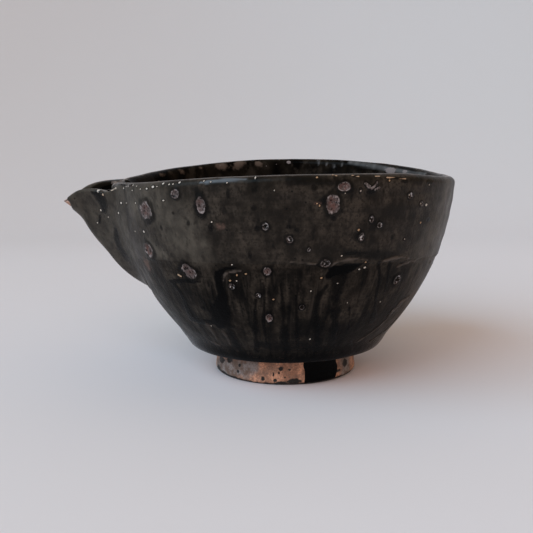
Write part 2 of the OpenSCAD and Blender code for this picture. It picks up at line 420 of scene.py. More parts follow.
# Places that are read off the photograph, as pixels of its frame: spots have x, y, width and height, and
# some a tone as well, and paths have x, y and half their width at each point
SCARS = [
    (145.5, 210, 12, 18, 0.7), (175.5, 194, 9, 9, 0.45), (200.5, 205, 9, 18, 0.6),
    (149, 250, 9, 15, 0.9), (191, 272.5, 12, 14, 0.6), (187, 268, 10, 11, 0.5),
    (232, 286, 6, 7, 0.0), (267, 271, 8, 9, 0.7), (265.5, 226.5, 7, 8, 0.0),
    (289, 239, 7, 8, 0.2), (333, 204, 14, 20, 0.75), (344, 186.5, 13, 10, 0.8),
    (371, 219, 5, 7, 0.0), (379, 225, 5, 6, 0.2), (361.5, 236.5, 6, 9, 0.1),
    (325, 263.5, 10, 9, 0.3), (397, 279.5, 7, 10, 0.2), (269.5, 317, 7, 10, 0.8),
    (302, 307, 5, 6, 0.3), (309, 249.5, 4, 5, 0.2), (410, 195.5, 5, 6, 0.1),
    (421.5, 204, 4, 5, 0.2), (259, 295, 5, 5, 0.0),
]
SHARDS = {
    "left": [(365.5, 183, 1.8), (369, 186, 2.0)],
    "right": [(371.5, 189, 1.3), (375.5, 184.5, 1.7), (377.5, 181, 1.0)],
    "low": [(375, 190, 1.2), (379, 187, 1.2)],
    "lone": [(359.8, 189, 1.3), (360.2, 192, 1.3)],
}
SHARD_CORE = 0.9
SHARD_TONE = 0.45
FADED = [(220.5, 227, 9, 8), (147, 265, 8, 15), (316.5, 204, 9, 4)]
BLOTS = [
    (199.5, 209, 18, 26), (322, 201, 11, 8), (355.5, 237, 8, 12), (211.5, 227, 5, 12), (161, 228, 4, 8),
    (188, 223, 4, 7), (257, 229, 6, 6), (253, 208, 7, 6), (250.5, 257, 5, 11), (297, 230, 6, 6),
    (288, 227, 5, 6), (404, 239, 5, 5), (428, 220, 5, 6), (173, 213, 5, 4), (333, 219, 9, 7),
    (180, 269, 6, 9), (145, 207, 3, 3), (402, 262, 8, 4), (379, 266, 4, 9), (389.5, 266, 4, 9),
    (352, 253.5, 26, 5), (203, 308, 6, 5), (315, 188, 9, 9), (148, 221, 6, 8), (224, 262, 6, 4),
    (302, 308, 9, 8), (371, 192, 12, 5), (430, 181, 9, 5), (405, 181, 9, 4),
]
# Pale lines along the ridge and down the drips: glaze that breaks thin over these edges, partly painted
# highlights where they catch the light
BREAK_AND_HIGHLIGHT_LINES = {
    "ridge_left": [(291, 262, 0.7), (316, 263, 0.8)],
    "ridge_pool": [(330, 266, 1.2), (336, 261.5, 1.5), (346, 259.5, 1.4), (357, 258.5, 1.3),
                   (366, 260, 0.8)],
    "ridge_right": [(383, 261, 1.0), (390, 258.5, 1.3), (400, 256.5, 1.3), (407, 258, 1.0)],
    "ridge_branch": [(397, 266, 1.0), (405, 263.5, 1.1), (413, 261, 1.2), (431, 262, 1.0)],
    "pool_rim": [(223.5, 280, 0.8), (224.5, 275.5, 1.0), (230, 272.5, 1.0), (241, 271.5, 0.9)],
    "drip_right": [(410, 295, 1.0), (401, 301, 1.7), (393, 309, 1.7), (386, 319, 1.4), (373, 331, 1.4),
                   (358, 341, 1.0)],
    "drip_inner": [(397, 318, 1.0), (384, 331, 1.3), (370, 341, 0.8)],
}
SOFT_BREAK_AND_HIGHLIGHT_LINES = {
    "drip_left": [(208, 325, 2.2), (213, 332, 1.8), (217, 339, 0.8)],
    "drip_middle": [(223, 331, 1.4), (227, 338, 1.3), (230, 344, 0.7)],
    "low_left": [(213, 342, 1.6), (219, 345, 1.2)],
    "drip_right": [(408, 297, 1.6), (399, 304, 2.2), (391, 313, 1.6)],
}
# Painted sheen: broad lighter places where the wall catches the window's light on the left and along its
# outlines
PAINTED_SHEEN_PLACES = {
    "left_wall": [(132, 200, 12), (152, 198, 16), (166, 215, 20), (182, 228, 22), (198, 246, 14)],
    "left_low": [(150, 246, 9), (165, 256, 4)],
    "left_edge": [(115, 255, 2.5), (126, 269, 2.5), (137, 277, 2.5), (152, 290, 2.5), (173, 315, 2.5)],
    "right_edge": [(448, 186, 12), (444, 215, 17), (431, 243, 22), (427, 268, 12), (417, 292, 4)],
}
# Painted shade: darker places where the lower wall faces down, under the ridge's ledge, under the lip and
# inside the hook
PAINTED_SHADE_PLACES = {
    "right_low": [(302, 328, 14), (340, 335, 18), (372, 327, 17), (398, 303, 10)],
    "low_middle": [(262, 345, 6), (300, 346, 8), (360, 342, 9)],
    "inside_hook": [(211, 305, 6), (222, 318, 8)],
    "left_low": [(172, 287, 7), (184, 306, 7), (200, 322, 5)],
    "under_ridge": [(345, 253, 5), (392, 255, 5)],
    "under_lip": [(290, 180, 5), (330, 181, 4), (420, 181, 4)],
}
# A painted bluish reflection of the window along the near lip
PAINTED_LIP_REFLECTIONS = {
    "bright": [(206, 181.5, 1.5), (225, 180.6, 1.9), (246, 179.6, 1.2)],
    "thin": [(200, 182.1, 0.4), (207, 181.5, 0.9)],
}
LIP_WORN = [(116, 182, 9, 7), (123, 181, 12, 5)]
INSIDE_MARKS = [(390.5, 170.5, 9, 6), (405, 172, 4, 3), (289, 162.5, 4, 3), (437, 177.5, 5, 3)]
# Brown places inside, with one size each
INSIDE_BROWN = [
    (222, 166, 15), (238, 164.5, 15), (202, 168, 5), (182, 171, 6),
    (258, 163.5, 8), (162, 174, 5),
]
# Painted reflections of the window on the inside wall
INSIDE_GLEAMS = {
    "first": [(319, 157.5, 1.7), (319.5, 163, 1.2)],
    "second": [(326, 158, 1.2), (326, 164, 1.0)],
    "third": [(333.5, 158.5, 1.6), (334, 166, 1.3)],
    "fourth": [(342, 159.5, 1.5), (342, 165, 1.2)],
    "wide": [(350, 162, 2.5), (366, 164.5, 3.2), (384, 168, 2.5), (404, 171, 2), (426, 174, 1.6)],
}
# The size in pixels and the warmth of each kind of speck, and where they are
SPECK_KINDS = {"bright": (2.3, 0.0), "faint": (1.5, 0.2), "warm": (2.2, 1.0)}
SPECKS = {
    "bright": [
        (163, 183.5), (179.5, 183), (152.7, 187), (146.6, 188), (163.4, 200.2), (143.9, 231.7),
        (255.8, 178), (426.3, 205), (310.9, 291.4), (364.5, 267.9), (359.4, 270), (310.3, 339.3),
    ],
    "faint": [
        (132.4, 190.2), (135.2, 231.2), (121.5, 203.2), (126.5, 203.2), (135.7, 203.4), (172.6, 183.5),
        (211, 182.2), (226.3, 182.2), (204, 180.2), (274.4, 190), (212.2, 221.8), (345.5, 193.3),
        (360, 190.9), (429, 184.8), (410.3, 195.2), (404.2, 239.4), (337.6, 283.9), (347.3, 303.3),
        (380, 301.5), (231.7, 264.7), (118.9, 212.7), (211, 326), (341, 256), (421.2, 203.6), (237, 281),
        (133.3, 185.5), (136.6, 186), (140.5, 188.3), (169, 184), (157, 186),
    ],
    "warm": [
        (358.8, 229.7), (321.2, 277.6), (364.8, 261.8), (236.6, 275), (246.4, 273.3), (317.2, 176.6),
        (420.2, 223), (273.3, 299), (229.5, 281), (316.5, 204), (319, 205.5), (389.5, 181),
    ],
}
AMBER_LINES = {
    "lip_long": [(387.5, 177.4, 0.9), (406, 178.2, 0.6)],
    "lip_left": [(332.5, 175.3, 0.8), (337, 175.3, 0.9)],
    "lip_middle": [(352.5, 175.6, 0.7), (358.5, 175.9, 0.8)],
    "lip_end": [(375, 176.6, 0.6), (380, 176.9, 0.5)],
    "diamond_crumb": [(178.2, 275.2, 1.2), (181, 276.5, 1.1)],
}
AMBER_WARMTH = 0.85
POOLS = {
    "left_pool": [(236, 268.3, 1.0), (226, 269.6, 2.4), (217.5, 272.5, 3.8), (217.5, 279, 4),
                  (220, 286, 3.8), (222.5, 295, 5.2), (221, 304, 8), (219, 313, 11), (219, 322, 10.5)],
    "hook_top": [(170, 281, 2.0), (176, 281, 3.0), (186, 281, 2.0), (200, 281.5, 0.9)],
    "hook_side": [(174, 283, 3.4), (180, 291, 3.2), (185, 302, 3.0), (190.5, 317, 3.4)],
    "hook_low": [(190.5, 319, 2.6), (203, 321.5, 3.0), (218, 323, 3.6)],
    "right_pool": [(363, 262.6, 1), (354, 266, 4), (344, 268.8, 5.8), (334, 270.5, 6.5), (329, 276, 4)],
}
STREAKS = {
    "pool_tail": [(226, 318, 7), (231, 332, 5.5), (236, 347, 5)],
    "low_a": [(203, 299, 1.0), (207, 308, 2.2), (214, 318, 5)],
    "low_b": [(212, 285, 1.6), (214, 300, 2.4), (221, 316, 5)],
    "low_c": [(256, 300, 1.5), (255, 325, 2.2), (257, 350, 2.6)],
    "low_d": [(263, 283, 1.3), (265, 300, 1.5), (264, 320, 1.5), (267, 345, 1.6)],
    "low_e": [(281, 285, 1.6), (283, 310, 2.8), (284, 335, 4), (286, 350, 5)],
    "low_f": [(296, 295, 1.4), (297, 320, 2), (297, 345, 2.6)],
    "right_arm": [(337, 277, 8), (337, 300, 5), (335, 320, 4), (331, 346, 5)],
    "left_arm": [(327, 285, 2.4), (318, 296, 2.8), (316.5, 310, 2.8), (316, 330, 3), (318, 348, 5)],
    "right_a": [(379, 262, 1.8), (379, 280, 1.8), (376, 297, 1.6), (372, 322, 3.4)],
    "right_b": [(389.5, 262, 1.6), (388, 278, 1.5), (385, 292, 1.1)],
    "right_c": [(350, 308, 1.2), (349, 330, 1.5)],
    "under_drip": [(400, 305.5, 1.8), (391, 313, 2.4), (381, 325, 2)],
}
SPOUT_SPECKS = [
    (98.3, 191, 2.6, 3.6, 0.0), (103, 194, 2.2, 2.6, 0.7), (100.3, 210, 1.9, 2.6, 0.1),
    (97.4, 223, 1.5, 1.8, 0.1), (108, 217.5, 1.6, 1.6, 0.2), (118.5, 213, 1.8, 2.4, 0.1),
    (121, 203, 2.0, 2.4, 0.0), (126.5, 203, 1.3, 1.8, 0.1), (123.5, 188, 1.0, 2.0, 0.1),
    (126.3, 187, 1.1, 2.2, 0.1), (129, 186.5, 1.0, 2.4, 0.1), (115.7, 188, 1.6, 2.6, 0.2),
]
# A pale line along the spout's near edge: glaze thin over the edge, partly a painted highlight
SPOUT_EDGE_LINE = [(100, 189.4, 0.8), (107, 189.8, 0.9), (112.5, 190.2, 0.8), (116, 188, 0.7)]
EDGE_WARMTH = 0.45
# Painted shade in the crease where the spout meets the wall and along its root, and a dark smudge by the
# tip
SPOUT_SHADE_AND_SMUDGES = {
    "valley": [(91, 192, 1.2), (97, 195.5, 3.8), (101, 200, 5.4), (103, 204.5, 4.2), (103.5, 210, 2.4)],
    "valley_low": [(100, 216, 1.2), (99.5, 222, 1.2)],
    "root": [(116, 230, 2), (117, 240, 3), (120, 248, 3), (127, 257, 4)],
    "tip": [(72.5, 199.5, 1.2), (75, 201, 1.6)],
}
ASH = {
    "left_ash": [(218, 365, 8), (228, 368, 10), (241, 369, 10), (250, 366, 8), (257, 360, 3)],
    "right_ash": [(345, 358, 9), (345.5, 371, 9)],
}
FOOT_STAINS = [
    (345, 363, 4.5, 8), (218.5, 368, 5, 7), (223, 373, 9, 4.5), (233, 377.5, 16, 3),
    (222, 359.5, 6, 7), (229.5, 360, 6, 6), (282, 384, 14, 6), (294, 381.5, 14, 7),
    (278, 361.5, 14, 4), (335, 372, 14, 3), (336, 378.5, 12, 3),
    (281, 369, 5, 4.5), (279.5, 373, 3, 3), (262.5, 379, 4.5, 4.5), (273.5, 374.5, 2, 4.5),
    (275.5, 381, 4, 3.5), (239.5, 365, 2.5, 3), (237.5, 371.5, 2.5, 3), (285, 377, 2, 2),
    (262.5, 361.5, 4, 3), (290, 370, 2.5, 2),
]


def camera_matrix():
    tilt = Matrix.Rotation(np.radians(90 - CAMERA_DOWN), 4, "X")
    roll = Matrix.Rotation(np.radians(CAMERA_ROLL), 4, "Z")
    return Matrix.Translation(CAMERA_AT * MM) @ (tilt @ roll)


def project(points):
    """Pixels of points in the photograph's frame, and millimetres per pixel there."""
    turn = np.array(camera_matrix().to_3x3())
    x, y, z = np.moveaxis((points - CAMERA_AT) @ turn, -1, 0)
    return PHOTO_SIZE / 2 - FOCAL_PIXELS * x / z, PHOTO_SIZE / 2 + FOCAL_PIXELS * y / z, -z / FOCAL_PIXELS


# The least share of its width that a mark shows where the surface turns away
LEAST_SHOWN = 0.4
# What a place further back adds to the square of its distance from a pixel
BEHIND = 17.0
# The distance of a place that is far from every mark
FAR = 3.0
# The pixel of a place that faces away
OUT_OF_SIGHT = 1e6


class Surface:
    """A grid of points on which marks can be placed by the pixels that they have in the photograph."""

    def __init__(self, points, normals):
        self.points = points.reshape(-1, 3)
        self.normals = normals.reshape(-1, 3)
        self.shape = points.shape[:2]
        x, y, self.scale = project(self.points)
        facing = np.einsum("ij,ij->i", self.normals, CAMERA_AT - self.points) > 0
        self.hidden = np.flatnonzero(~facing)
        self.pixels = np.where(facing[:, None], np.stack([x, y], axis=-1), OUT_OF_SIGHT)

    def find(self, x, y):
        """The nearest point at a pixel, where a point behind another one counts as further off."""
        return int(np.argmin(np.sum((self.pixels - (x, y)) ** 2, axis=-1) + BEHIND * self.scale))

    def spot(self, number, width, height, tilt=0.0):
        """Distance from a spot's middle over its half size, so that 1 is its outline."""
        off = self.points - self.points[number]
        out = self.normals[number]
        side = np.cross((0, 0, 1), out)
        side /= np.linalg.norm(side)
        u = off @ side
        v = off @ np.cross(out, side)
        u, v = u * np.cos(tilt) - v * np.sin(tilt), u * np.sin(tilt) + v * np.cos(tilt)
        return np.sqrt((u / (width / 2)) ** 2 + (v / (height / 2)) ** 2 + (off @ out) ** 2)

    def pixel_spot(self, x, y, width, height):
        number = self.find(x, y)
        mm = self.scale[number]
        r, out = np.hypot(*self.normals[number][:2]), self.normals[number]
        across = max(LEAST_SHOWN, abs(out[1]) / max(r, LEAST_SHOWN))
        return self.spot(number, width * mm / across, height * mm / max(LEAST_SHOWN, r))

    def spots(self, places):
        """Distance from the nearest of several spots, as a grid."""
        nearest = np.minimum.reduce([self.pixel_spot(*place) for place in places])
        return np.minimum(nearest, FAR).reshape(self.shape)

    def strokes(self, paths):
        """Distance from the nearest of several paths, as a grid."""
        return np.minimum.reduce([self.stroke(path) for path in paths.values()]).reshape(self.shape)

    def stroke(self, path):
        """Distance from a path over its half width, which runs along the path."""
        numbers = [self.find(x, y) for x, y, _ in path]
        nearest = np.full(len(self.points), FAR)
        for k in range(len(path) - 1):
            start, end = self.points[numbers[k]], self.points[numbers[k + 1]]
            step = end - start
            share = np.clip((self.points - start) @ step / (step @ step), 0, 1)
            half = lerp(path[k][2], path[k + 1][2], share) * self.scale[numbers[k]]
            away = np.linalg.norm(self.points - start - share[:, None] * step, axis=-1)
            nearest = np.minimum(nearest, away / half)
        return nearest


def nearest_marks(shape, marks):
    """The least of several distance fields, and the tone of the mark that it belongs to."""
    least = np.full(shape, FAR)
    tones = np.zeros(shape)
    for distance, tone in marks:
        distance = distance.reshape(shape)
        closer = distance < least
        least = np.where(closer, distance, least)
        tones = np.where(closer, tone, tones)
    return least, tones


def column_angles():
    """Angles of the columns, closer together where the photograph shows the bowl and beside the gap."""
    fine = np.linspace(-180, 180, FINE_ANGLES)
    density = 1 + 0.8 * ease((np.sin(np.radians(fine)) + 0.3) / 0.8)
    density += 4 * bump_at(np.abs(fine) - TOP_SPREAD * (GAP_IN + GAP_OUT) / 2, 2.5)
    share = np.concatenate([[0], np.cumsum((density[1:] + density[:-1]) / 2)])
    return np.interp(np.arange(COLS) / COLS * share[-1], share, fine)


def rim_crest(a):
    """Height at which the rounding of the clay's lip starts."""
    wave = RIM_WAVE * noise(at(a, RIM_R, 0 * a), RIM_WAVE_SIZE)
    rises = sum(rise * bump_at(a - angle, width) for angle, width, rise in RIM_RISES.values())
    ends = RIM_END_DROP * bump_at(np.abs(a) - RIM_END, RIM_END_DROP_W)
    return crest_z(a) - LIP_ROUND - COAT - CREST_CLEAR + wave + rises - ends


def well_curve():
    """Radius and height of the curve from the inside of the wall to the floor."""
    f = np.arange(1, WELL_ROWS + 1)[:, None] / WELL_ROWS
    slope = inside_r(WELL_Z + 1) - inside_r(WELL_Z)
    pull_r = inside_r(WELL_Z) - slope * (WELL_Z - FLOOR_Z)
    r = lerp(lerp(inside_r(WELL_Z), pull_r, f), lerp(pull_r, FLOOR_R, f), f)
    return r, lerp(lerp(WELL_Z, FLOOR_Z, f), FLOOR_Z, f)


def clay_grid():
    """The clay's surface: up the outside, over the lip and down the inside to the middle of the floor."""
    a = column_angles()[None, :]
    crest = rim_crest(a)
    low = lerp(TURN_Z, ridge_z(a), (np.arange(LOW_ROWS)[:, None] / LOW_ROWS) ** LOW_CROWD)
    up = lerp(ridge_z(a), crest, np.arange(UP_ROWS)[:, None] / UP_ROWS)
    outside = np.concatenate([low, up])
    turn = np.radians(np.arange(LIP_ROWS + 1) * 180 / LIP_ROWS)[:, None]
    half = wall_t(crest) / 2
    inside = lerp(crest, WELL_Z, np.arange(1, INSIDE_ROWS + 1)[:, None] / INSIDE_ROWS)
    floor_r = FLOOR_R * (1 - np.arange(1, FLOOR_ROWS + 1)[:, None] / (FLOOR_ROWS + FLOOR_HOLE))
    stretches = [
        (wall_r(outside), outside),
        (wall_r(crest) - half + half * np.cos(turn), crest + LIP_ROUND * np.sin(turn)),
        (inside_r(inside), inside),
        well_curve(),
        (floor_r, FLOOR_Z + 0 * floor_r),
    ]
    r, z = (np.concatenate([stretch[k] + 0 * a for stretch in stretches]) for k in range(2))
    flare = RIM_END_FLARE * bump_at(np.abs(a) - RIM_END, RIM_END_FLARE_W)
    r = r + flare * ease((z - FLARE_FROM) / FLARE_RISE)
    r = r + SWELL * bump_at(a, SWELL_TURN) * bump_at(z - SWELL_Z, SWELL_H)
    return a + 0 * r, at(a, r, z), z


RIDGE_ROW = LOW_ROWS
CREST_ROW = LOW_ROWS + UP_ROWS + LIP_ROWS // 2


def random_marks(surface, count, least, most, seed):
    """Spots at random on the sides that the photograph doesn't show, and their tones."""
    rng = np.random.default_rng(seed)
    marks = []
    for number in rng.choice(surface.hidden, count, replace=False):
        width = rng.uniform(least, most)
        tall = width * rng.uniform(0.9, 1.6)
        marks.append((surface.spot(number, width, tall, rng.uniform(-0.5, 0.5)), rng.random()))
    return marks


def random_runs(surface, count, seed):
    """Runs down from the ridge on the sides that the photograph doesn't show."""
    rng = np.random.default_rng(seed)
    fields = []
    flow = surface.points
    turn = np.degrees(np.arctan2(-flow[:, 1], -flow[:, 0]))
    for angle in np.sort(rng.uniform(-178, 8, count)):
        middle = angle + 3 * noise(flow * (0, 0, 1) + angle, 14)
        away = np.abs((turn - middle + 180) % 360 - 180) * np.pi / 180 * np.hypot(flow[:, 0], flow[:, 1])
        width = rng.uniform(1, 2.6) * (1 + 0.4 * noise(flow * (0, 0, 1) + 3 * angle, 9))
        end = rng.uniform(12, 40)
        past = np.maximum(0, end - flow[:, 2]) / 6 + np.maximum(0, flow[:, 2] - ridge_z(turn) + 1) / 2
        fields.append(away / width + past)
    return np.minimum.reduce(fields).reshape(surface.shape)


def crater(distance):
    """Height of a burst blister: a rough hollow in a raised rim."""
    return 0.22 * bump_at(distance - 1.0, 0.28) - 0.4 * within(distance, 0.9, 0.5)


def worn_lip(spot):
    """What a worn spot leaves of the distance from the lip."""
    return 0.6 * spot - 0.6 + 10 * ease((spot - 1) / 0.5)


def in_gap(a):
    """Share by which a place round the bowl is in the gap under the spout."""
    return within(np.abs(a), RIM_END, 1.5)


def scar_fields(surface, clay):
    """Distance from the nearest blister scar, with a ragged outline, and its tone."""
    spots = [(surface.pixel_spot(*mark[:4]), mark[4]) for mark in SCARS]
    spots += [(np.maximum(surface.stroke(path), SHARD_CORE), SHARD_TONE) for path in SHARDS.values()]
    spots += random_marks(surface, count=26, least=1.6, most=5, seed=3)
    scar, tone = nearest_marks(surface.shape, spots)
    return scar * (1 + 0.16 * noise(clay, 1.9)) + 0.05 * noise(clay, 0.8), tone


def speck_fields(surface):
    """Distance from the nearest speck, and how warm its colour is."""
    specks = []
    rng = np.random.default_rng(6)
    for kind, places in SPECKS.items():
        size, warmth = SPECK_KINDS[kind]
        for x, y in places:
            wide, tall = size * rng.uniform(0.7, 1.3, 2)
            specks.append((surface.pixel_spot(x, y, wide, tall), warmth))
    specks += [(surface.stroke(path), AMBER_WARMTH) for path in AMBER_LINES.values()]
    specks += random_marks(surface, count=60, least=0.5, most=1.0, seed=5)
    return nearest_marks(surface.shape, specks)


def black_field(surface, clay, a):
    """Share of black: crisp pools, soft runs, blots, and painted shade on what lies under the spout."""
    crisp = surface.strokes(POOLS) + waves(clay, POOL_EDGE)
    soft = np.minimum(surface.strokes(STREAKS), random_runs(surface, count=13, seed=4))
    soft = soft + waves(clay, RUN_EDGE)
    blot = surface.spots(BLOTS) + waves(clay, BLOT_EDGE)
    pools, runs, blots = within(crisp, 1.2, 0.35), within(soft, 1.5, 1.1), within(blot, 1.2, 0.8)
    return np.maximum.reduce([pools, 0.85 * runs, 0.8 * blots, in_gap(a)])


def coat_relief(a, clay, z, edge):
    """Thickness of the outer coats without their marks: the roll, the ledge of the ridge and the rings."""
    ledge = np.where(edge > 0, np.exp(-np.abs(edge) / LEDGE_FADE), bump_at(edge, LEDGE_UNDER))
    rings = np.sin(2 * np.pi * z / RING_PITCH + 2 * noise(at(a, FLOW_R, z), 30))
    thickness = COAT + ROLL * bump_at(z - TURN_Z, ROLL_UP)
    thickness += (LEDGE + 0.25 * noise(clay, 9)) * (0.45 + 0.55 * ease((a - 75) / 20)) * ledge
    thickness += RING_DEPTH * rings * (1 - below_ridge(a, z))
    return thickness + waves(clay, COAT_WAVES)


def below_ridge(a, z):
    """Share by which a place lies below the ridge."""
    return ease((ridge_z(a) - z) / BELOW_FADE)


def wall_details(a, clay, normals, z):
    """Thickness of the outer coats and the fields that their colours follow."""
    surface = Surface(clay + normals * COAT, normals)
    scar, tone = scar_fields(surface, clay)
    speck, warm = speck_fields(surface)
    black = black_field(surface, clay, a)
    below = below_ridge(a, z)
    crumbs = 0.9 * noise(clay, 1.7)
    # Pale break lines, partly painted highlights
    light = within(surface.strokes(BREAK_AND_HIGHLIGHT_LINES) + crumbs, 1.25, 1.1)
    light = np.maximum(light, 0.4 * within(surface.strokes(SOFT_BREAK_AND_HIGHLIGHT_LINES) + crumbs, 2, 1.8))
    # Painted shade, less painted sheen, as one field
    shade = 0.9 * within(surface.strokes(PAINTED_SHADE_PLACES) + 0.4 * noise(clay, 8), 1.7, 1.4)
    shade -= within(surface.strokes(PAINTED_SHEEN_PLACES) + 0.6 * noise(clay, 12), 2.3, 2.3)
    around = at(a, FLOW_R, z)
    edge = z - ridge_z(a) - 0.7 * noise(around, (7, 7, 90)) - 0.3 * noise(around, (3, 3, 90))
    flow = 0.015 * noise(around, (3, 3, 38)) + 0.07 * black - 0.05
    thickness = coat_relief(a, clay, z, edge) + below * ease((z - TURN_Z - 1) / 5) * flow
    thickness += crater(scar) + 0.1 * within(speck, 1, 0.6) + 0.28 * light
    far_side = ease(0.2 - 3 * np.sin(np.radians(a)))
    fields = {
        "scar": scar, "tone": tone, "speck": speck, "warm": warm, "pool": black, "below": below,
        # Pale break lines at the ridge's edge and down the drips, partly painted highlights
        "ridge": np.maximum(light, far_side * bump_at(edge - 0.3, 0.6) * ease(noise(clay, 11) / 0.5)),
        "shade": shade,
        "painted_reflection": within(surface.strokes(PAINTED_LIP_REFLECTIONS) + 0.5 * noise(clay, 3), 1.5, 1.0),
        "faded": surface.spots(FADED),
        "roll": bump_at(z - TURN_Z, ROLL_UP * 1.7),
        "lip": np.minimum(z[-1] - z, worn_lip(surface.spots(LIP_WORN))) + 10 * in_gap(a),
    }
    return thickness, fields


def plain_fields(shape, **marked):
    """The fields of the outer coats on a piece that has only some of their marks."""
    shares = ("tone", "warm", "pool", "below", "ridge", "roll", "shade", "painted_reflection")
    distances = ("scar", "speck", "faded", "lip")
    fields = dict.fromkeys(shares, 0.0) | dict.fromkeys(distances, FAR) | marked
    return {name: values + np.zeros(shape) for name, values in fields.items()}


# Node materials
CLOUD_ROUGH = 0.55


class Look:
    """A material with one Principled shader and helpers that add nodes to it."""

    def __init__(self, name, **shader):
        self.material = bpy.data.materials.new(name)
        self.material.use_nodes = True
        self.tree = self.material.node_tree
        self.shader = self.tree.nodes["Principled BSDF"]
        for socket, value in shader.items():
            self.shader.inputs[socket.replace("_", " ")].default_value = value
        place = self.node("ShaderNodeTexCoord", {})["Object"]
        self.mm = self.vector("MULTIPLY", place, (1 / MM,) * 3)
        around = self.vector("NORMALIZE", self.vector("MULTIPLY", self.mm, (1, 1, 0)))
        upright = self.vector("MULTIPLY", self.mm, (0, 0, 1))
        self.flow = self.vector("MULTIPLY_ADD", around, (RIM_R, RIM_R, 0), upright)

    def plug(self, socket, value):
        if isinstance(value, bpy.types.NodeSocket):
            self.tree.links.new(value, socket)
        elif socket.type == "RGBA" and len(value) == 3:
            socket.default_value = (*value, 1)
        else:
            socket.default_value = value

    def node(self, kind, inputs, **settings):
        """Outputs of a new node, with what goes into its inputs by name or number."""
        node = self.tree.nodes.new(kind)
        for setting, value in settings.items():
            setattr(node, setting, value)
        for socket, value in inputs.items():
            self.plug(node.inputs[socket], value)
        return node.outputs

    def vector(self, operation, *inputs):
        return self.node("ShaderNodeVectorMath", dict(enumerate(inputs)), operation=operation)[0]

    def math(self, operation, *inputs):
        return self.node("ShaderNodeMath", dict(enumerate(inputs)), operation=operation)[0]

    def field(self, name):
        return self.node("ShaderNodeAttribute", {}, attribute_name=name)["Fac"]

    def cloud(self, size, stretch=1.0, detail=3.0, shift=0.0, flow=False):
        """Noise from 0 to 1 with features of that size, drawn out upright or along the flow of the wall."""
        scale = (1 / size, 1 / size, 1 / size / stretch)
        place = self.vector("MULTIPLY_ADD", self.flow if flow else self.mm, scale, (shift,) * 3)
        inputs = {"Vector": place, "Scale": 1.0, "Detail": detail, "Roughness": CLOUD_ROUGH}
        return self.node("ShaderNodeTexNoise", inputs)["Fac"]

    def dots(self, size, radius):
        """Round dots scattered at that spacing, as a mask."""
        place = self.vector("MULTIPLY", self.mm, (1 / size,) * 3)
        away = self.node("ShaderNodeTexVoronoi", {"Vector": place, "Scale": 1.0})["Distance"]
        return self.spread(away, radius / size, 0.6 * radius / size)

    def spread(self, *levels):
        """A value that goes smoothly from one number to another between two levels, or else from 0 to 1."""
        return self.node("ShaderNodeMapRange", dict(enumerate(levels)), interpolation_type="SMOOTHSTEP")[0]

    def mix(self, share, one, other):
        return self.node("ShaderNodeMix", {0: share, 6: one, 7: other}, data_type="RGBA")[2]

    def both(self, one, other):
        return self.math("MULTIPLY", one, other)

    def add(self, one, other, share=1.0):
        return self.math("MULTIPLY_ADD", other, share, one)

    def ragged(self, field, share, *size, **more):
        """A field of distances with noise added, for a ragged outline."""
        return self.add(self.field(field), self.cloud(*size, **more), share)

    def patches(self, low, high, *size, **more):
        """Patches of noise, as a mask that goes from 0 to 1 between two of its levels."""
        return self.spread(self.cloud(*size, **more), low, high)

    def wander(self, least, most, *size):
        """A roughness that wanders between two values."""
        return self.spread(self.cloud(*size), 0.3, 0.7, least, most)

    def over(self, colour, mask, strength=1.0):
        """Lays a colour over the colours so far."""
        share = mask if strength == 1.0 else self.both(mask, strength)
        self.colour = self.mix(share, self.colour, colour)

    def finish(self, roughness, height, depth):
        """Joins colour, roughness and a height field that is so many millimetres deep to the shader."""
        bump = self.node("ShaderNodeBump", {"Distance": depth * MM, "Height": height})["Normal"]
        for socket, value in (("Base Color", self.colour), ("Roughness", roughness), ("Normal", bump)):
            self.plug(self.shader.inputs[socket], value)
        return self.material


BLACK = (0.0006, 0.0006, 0.0007)
DARK = (0.0085, 0.0068, 0.0052)
BROWN = (0.0445, 0.0362, 0.0284)
RUST = (0.062, 0.05, 0.04)
INSIDE_RUST = (0.10, 0.075, 0.06)
THIN_GLAZE_AND_HIGHLIGHT = (0.28, 0.24, 0.22)
# Colours of the painted sheen
PAINTED_SHEEN = (0.092, 0.081, 0.065)
PAINTED_SHEEN_DARK = (0.05, 0.044, 0.036)
BREAK_AND_HIGHLIGHT = (0.085, 0.07, 0.06)
PAINTED_REFLECTION_BLUE = (0.12, 0.14, 0.16)
GLEAM = (0.115, 0.118, 0.12)
GLINT = (0.46, 0.45, 0.46)
SCAR_PALE = (0.24, 0.21, 0.205)
RING_PALE = (0.14, 0.128, 0.125)
SCAR_BROWN = (0.075, 0.058, 0.055)
SCAR_RED = (0.105, 0.054, 0.046)
SALMON = (0.135, 0.082, 0.066)
CREAM = (0.50, 0.465, 0.415)
TAN = (0.34, 0.22, 0.13)
SCAR_ROUGH = (0.55,) * 3
POOL_ROUGH = (0.14,) * 3


